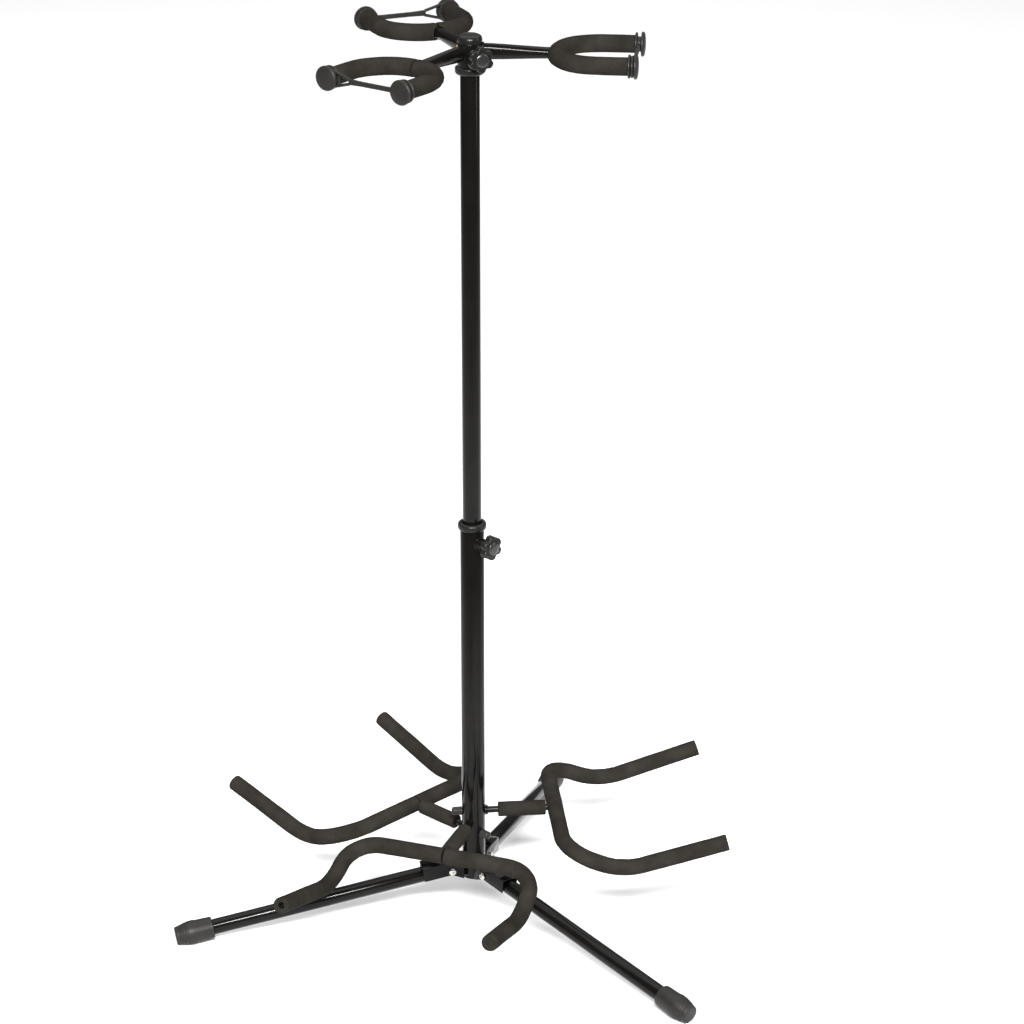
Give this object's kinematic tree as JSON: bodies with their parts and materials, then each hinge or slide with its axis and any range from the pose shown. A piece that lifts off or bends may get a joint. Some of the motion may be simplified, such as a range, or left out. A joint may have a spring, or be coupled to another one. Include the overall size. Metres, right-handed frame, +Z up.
{
  "type": "guitar rack",
  "caption": "Black tubular floor stand for several guitars: folding tripod legs, padded body cradles low on a telescopic mast, and a turning head of padded neck yokes with rubber straps.",
  "frame": {"origin": "on the floor plane, under the middle of the bounding box", "axes": "+Z up along the mast; -Y towards the viewer of the front; the first cradle points along +X, turned 5 degrees towards -Y"},
  "size_m": [0.6696, 0.65, 1.0914],
  "materials": {
    "steel": "gloss black enamel on steel tube",
    "foam": "matte black closed-cell foam sleeve",
    "rubber": "satin black rubber",
    "plastic": "satin black moulded nylon",
    "zinc": "bright zinc-plated steel"
  },
  "bodies": {
    "base": {"lower_tube": "steel", "tube_plug": "plastic", "collar_bushing": "plastic", "height_boss": "steel", "leg_bracket_1": "steel", "leg_bracket_2": "steel", "leg_bracket_3": "steel", "leg_pivot_bolt_1": "zinc", "leg_pivot_bolt_2": "zinc", "leg_pivot_bolt_3": "zinc"},
    "height_knob": {"height_knob": "plastic", "height_bolt": "zinc"},
    "mast_upper": {"upper_tube": "steel", "guide_bush": "plastic"},
    "head": {"head_tube": "steel", "head_collar": "plastic", "head_cap": "plastic", "head_boss": "steel", "yoke_frame_1": "steel", "yoke_cap_1": "rubber", "yoke_strap_1": "rubber", "yoke_frame_2": "steel", "yoke_cap_2": "rubber", "yoke_strap_2": "rubber", "yoke_frame_3": "steel", "yoke_cap_3": "rubber", "yoke_strap_3": "rubber", "yoke_foam_1_left": "foam", "yoke_foam_1_right": "foam", "yoke_foam_2_left": "foam", "yoke_foam_2_right": "foam", "yoke_foam_3_left": "foam", "yoke_foam_3_right": "foam"},
    "head_knob": {"head_knob": "plastic", "head_bolt": "zinc"},
    "leg_1": {"leg_tube_1": "steel", "foot_1": "rubber"},
    "leg_2": {"leg_tube_2": "steel", "foot_2": "rubber"},
    "leg_3": {"leg_tube_3": "steel", "foot_3": "rubber"},
    "cradle_1": {"cradle_rod_1": "steel", "cradle_foam_1_left": "foam", "cradle_foam_1_right": "foam", "cradle_sleeve_1": "foam", "cradle_washer_1": "steel", "cradle_end_cap_1": "rubber"},
    "cradle_2": {"cradle_rod_2": "steel", "cradle_foam_2_left": "foam", "cradle_foam_2_right": "foam", "cradle_sleeve_2": "foam", "cradle_washer_2": "steel", "cradle_end_cap_2": "rubber"},
    "cradle_3": {"cradle_rod_3": "steel", "cradle_foam_3_left": "foam", "cradle_foam_3_right": "foam", "cradle_sleeve_3": "foam", "cradle_washer_3": "steel", "cradle_end_cap_3": "rubber"}
  },
  "joints": [
    {"name": "mast_slide", "type": "slide", "parent": "base", "child": "mast_upper", "axis": [0, 0, 1], "range_m": [-0.27, 0.035]},
    {"name": "head_swivel", "type": "hinge", "parent": "mast_upper", "child": "head", "pos_m": [0.03239, -0.00563, 1.0727], "axis": [0, 0, 1], "continuous": true},
    {"name": "height_knob_turn", "type": "hinge", "parent": "base", "child": "height_knob", "pos_m": [0.03239, -0.00563, 0.48907], "axis": [0.5736, -0.8192, 0], "range_deg": [0, 720]},
    {"name": "head_knob_turn", "type": "hinge", "parent": "head", "child": "head_knob", "pos_m": [0.03239, -0.00563, 1.06957], "axis": [0.23, -0.9732, 0], "range_deg": [0, 720]},
    {"name": "leg_fold_1", "type": "hinge", "parent": "base", "child": "leg_1", "pos_m": [0.04556, 0.02021, 0.06307], "axis": [-0.891, 0.454, 0], "range_deg": [0, 81]},
    {"name": "leg_fold_2", "type": "hinge", "parent": "base", "child": "leg_2", "pos_m": [0.00343, -0.00715, 0.06307], "axis": [0.0523, -0.9986, 0], "range_deg": [0, 81]},
    {"name": "leg_fold_3", "type": "hinge", "parent": "base", "child": "leg_3", "pos_m": [0.04819, -0.02995, 0.06307], "axis": [0.8387, 0.5446, 0], "range_deg": [0, 81]},
    {"name": "cradle_turn_1", "type": "hinge", "parent": "base", "child": "cradle_1", "pos_m": [0.03239, -0.00563, 0.13707], "axis": [0.9962, -0.0872, 0], "range_deg": [-90, 90]},
    {"name": "cradle_turn_2", "type": "hinge", "parent": "base", "child": "cradle_2", "pos_m": [0.03239, -0.00563, 0.11107], "axis": [-0.5878, 0.809, 0], "range_deg": [-90, 90]},
    {"name": "cradle_turn_3", "type": "hinge", "parent": "base", "child": "cradle_3", "pos_m": [0.03239, -0.00563, 0.12407], "axis": [-0.5, -0.866, 0], "range_deg": [-90, 90]}
  ]
}
